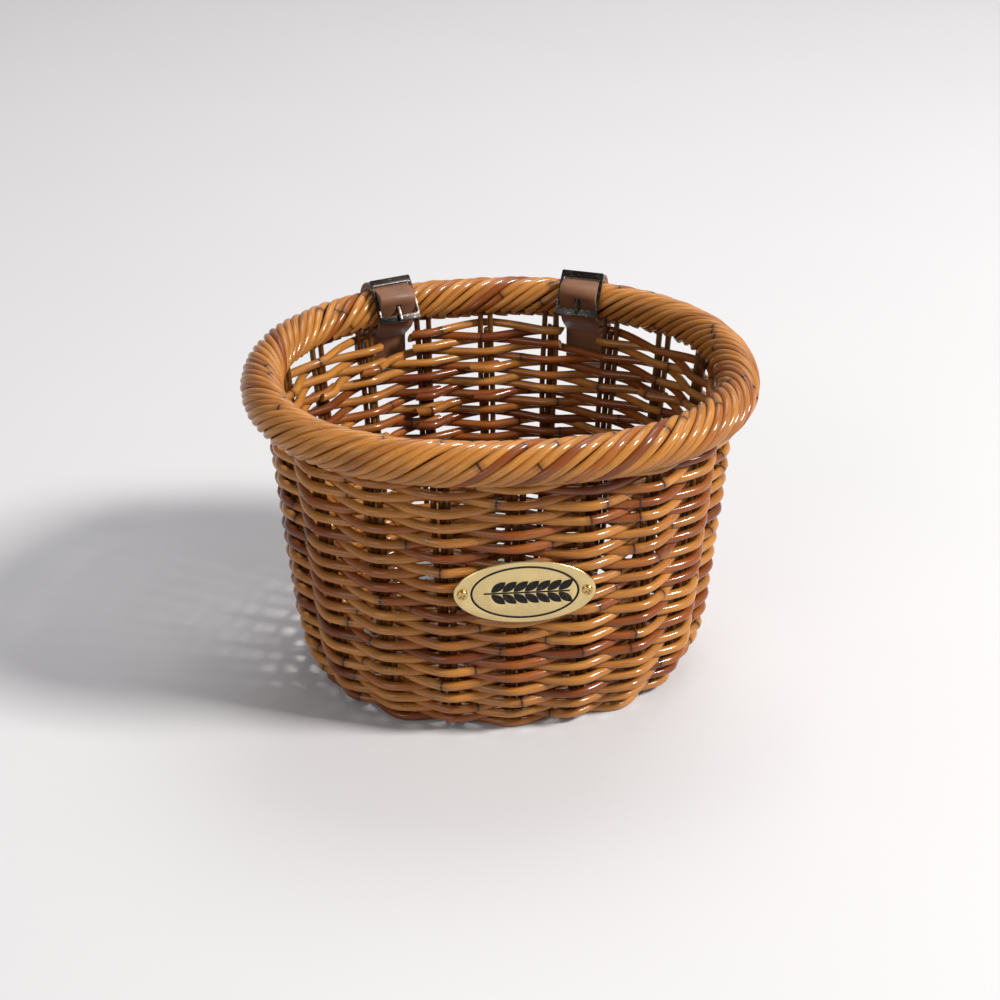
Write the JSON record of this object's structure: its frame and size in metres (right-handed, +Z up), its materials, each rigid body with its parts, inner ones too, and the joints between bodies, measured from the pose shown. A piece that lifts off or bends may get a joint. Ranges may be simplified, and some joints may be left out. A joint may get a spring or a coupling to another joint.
{
  "type": "handlebar basket",
  "caption": "Woven rattan handlebar basket, oval and tapered, with a rolled rim, a brass front plaque and buckled leather straps that loop round the handlebar.",
  "frame": {"origin": "centre of the basket's underside, in the plane that it stands on", "axes": "+Z up through the open top, +X along the handlebar, -Y towards the front with the plaque"},
  "size_m": [0.2884, 0.2574, 0.2026],
  "materials": {
    "weaver_cane": "varnished rattan, honey brown with darker joints and freckles",
    "stake_cane": "varnished rattan, darker and shaded",
    "rim_cane": "varnished rattan, glossy golden brown",
    "base_cane": "varnished rattan, brown",
    "plaque_brass": "satin pale gold with a dark engraved line and sprig",
    "screw_brass": "bright brass, cross head",
    "strap_leather": "smooth brown leather with a suede flesh side and dark edges",
    "buckle_metal": "dark gunmetal with worn bright edges"
  },
  "bodies": {
    "basket": {"foot_hoop": "base_cane", "base_sticks": "base_cane", "base_canes": "base_cane", "stakes_outer": "stake_cane", "stakes_middle": "stake_cane", "weaver_01": "weaver_cane", "weaver_02": "weaver_cane", "weaver_03": "weaver_cane", "weaver_04": "weaver_cane", "weaver_05": "weaver_cane", "weaver_06": "weaver_cane", "weaver_07": "weaver_cane", "weaver_08": "weaver_cane", "weaver_09": "weaver_cane", "weaver_10": "weaver_cane", "weaver_11": "weaver_cane", "weaver_12": "weaver_cane", "weaver_13": "weaver_cane", "weaver_14": "weaver_cane", "weaver_15": "weaver_cane", "weaver_16": "weaver_cane", "weaver_17": "weaver_cane", "weaver_18": "weaver_cane", "weaver_19": "weaver_cane", "weaver_20": "weaver_cane", "weaver_21": "weaver_cane", "weaver_22": "weaver_cane", "weaver_23": "weaver_cane", "weaver_24": "weaver_cane", "weaver_25": "weaver_cane", "weaver_26": "weaver_cane", "weaver_27": "weaver_cane", "weaver_28": "weaver_cane", "weaver_29": "weaver_cane", "weaver_30": "weaver_cane", "weaver_31": "weaver_cane", "weaver_32": "weaver_cane", "weaver_33": "weaver_cane", "weaver_34": "weaver_cane", "weaver_35": "weaver_cane", "rim_core": "rim_cane", "rim_strands": "rim_cane", "plaque": "plaque_brass", "plaque_screws": "screw_brass"},
    "strap_left": {"strap_left": "strap_leather"},
    "buckle_left": {"buckle_frame_left": "buckle_metal"},
    "tongue_left": {"buckle_tongue_left": "buckle_metal"},
    "strap_right": {"strap_right": "strap_leather"},
    "buckle_right": {"buckle_frame_right": "buckle_metal"},
    "tongue_right": {"buckle_tongue_right": "buckle_metal"}
  },
  "joints": [
    {"name": "strap_left_shift", "type": "slide", "parent": "basket", "child": "strap_left", "axis": [0.9312, 0.3645, 0], "range_m": [-0.0008, 0.0008]},
    {"name": "buckle_left_rock", "type": "hinge", "parent": "strap_left", "child": "buckle_left", "pos_m": [-0.05554, 0.0885, 0.19187], "axis": [0.9312, 0.3645, 0], "range_deg": [-3, 3]},
    {"name": "tongue_left_lift", "type": "hinge", "parent": "buckle_left", "child": "tongue_left", "pos_m": [-0.05554, 0.0885, 0.19187], "axis": [-0.9312, -0.3645, 0], "range_deg": [0, 9]},
    {"name": "strap_right_shift", "type": "slide", "parent": "basket", "child": "strap_right", "axis": [0.9312, -0.3645, 0], "range_m": [-0.0008, 0.0008]},
    {"name": "buckle_right_rock", "type": "hinge", "parent": "strap_right", "child": "buckle_right", "pos_m": [0.05554, 0.0885, 0.19187], "axis": [0.9312, -0.3645, 0], "range_deg": [-3, 3]},
    {"name": "tongue_right_lift", "type": "hinge", "parent": "buckle_right", "child": "tongue_right", "pos_m": [0.05554, 0.0885, 0.19187], "axis": [-0.9312, 0.3645, 0], "range_deg": [0, 9]}
  ]
}
